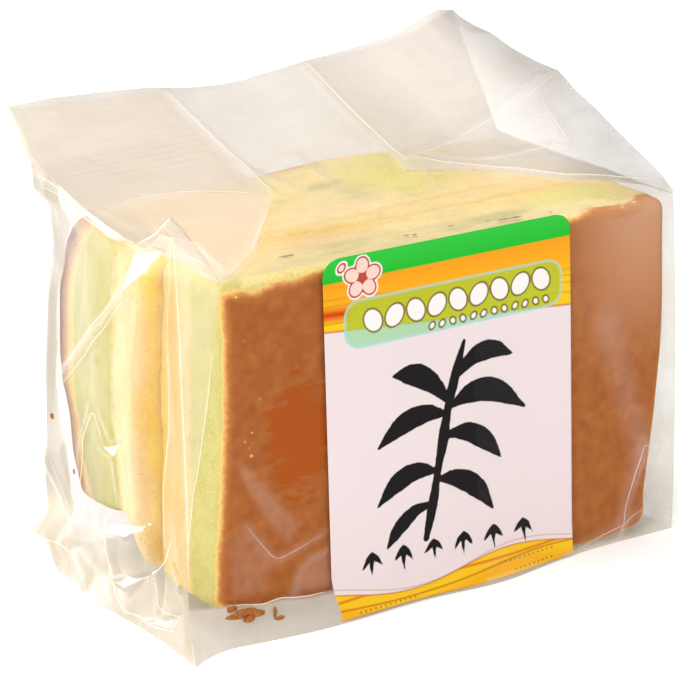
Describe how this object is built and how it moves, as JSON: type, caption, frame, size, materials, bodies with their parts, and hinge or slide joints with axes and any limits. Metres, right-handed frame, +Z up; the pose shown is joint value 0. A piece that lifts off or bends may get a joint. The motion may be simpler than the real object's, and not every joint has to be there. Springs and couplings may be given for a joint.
{
  "type": "bagged castella sponge cake",
  "caption": "Block of green-tea castella sponge cake standing on its long cut edge in a clear gusseted film bag with a tented, sealed top and a printed front label.",
  "frame": {"origin": "middle of the underside of the bounding box, on the surface the pack stands on", "axes": "+X to the right along the labelled front, +Y to the back, +Z up"},
  "size_m": [0.1492, 0.106, 0.1234],
  "materials": {
    "film": "clear, slightly hazy film with sharp highlights on its creases",
    "label": "smooth coated paper, printed in fields of colour",
    "green_sponge": "soft matt crumb, pale green",
    "egg_sponge": "soft matt crumb, warm yellow",
    "crust": "smooth matt browned crust"
  },
  "bodies": {
    "root": {"bag": "film", "label": "label"}
  },
  "joints": []
}
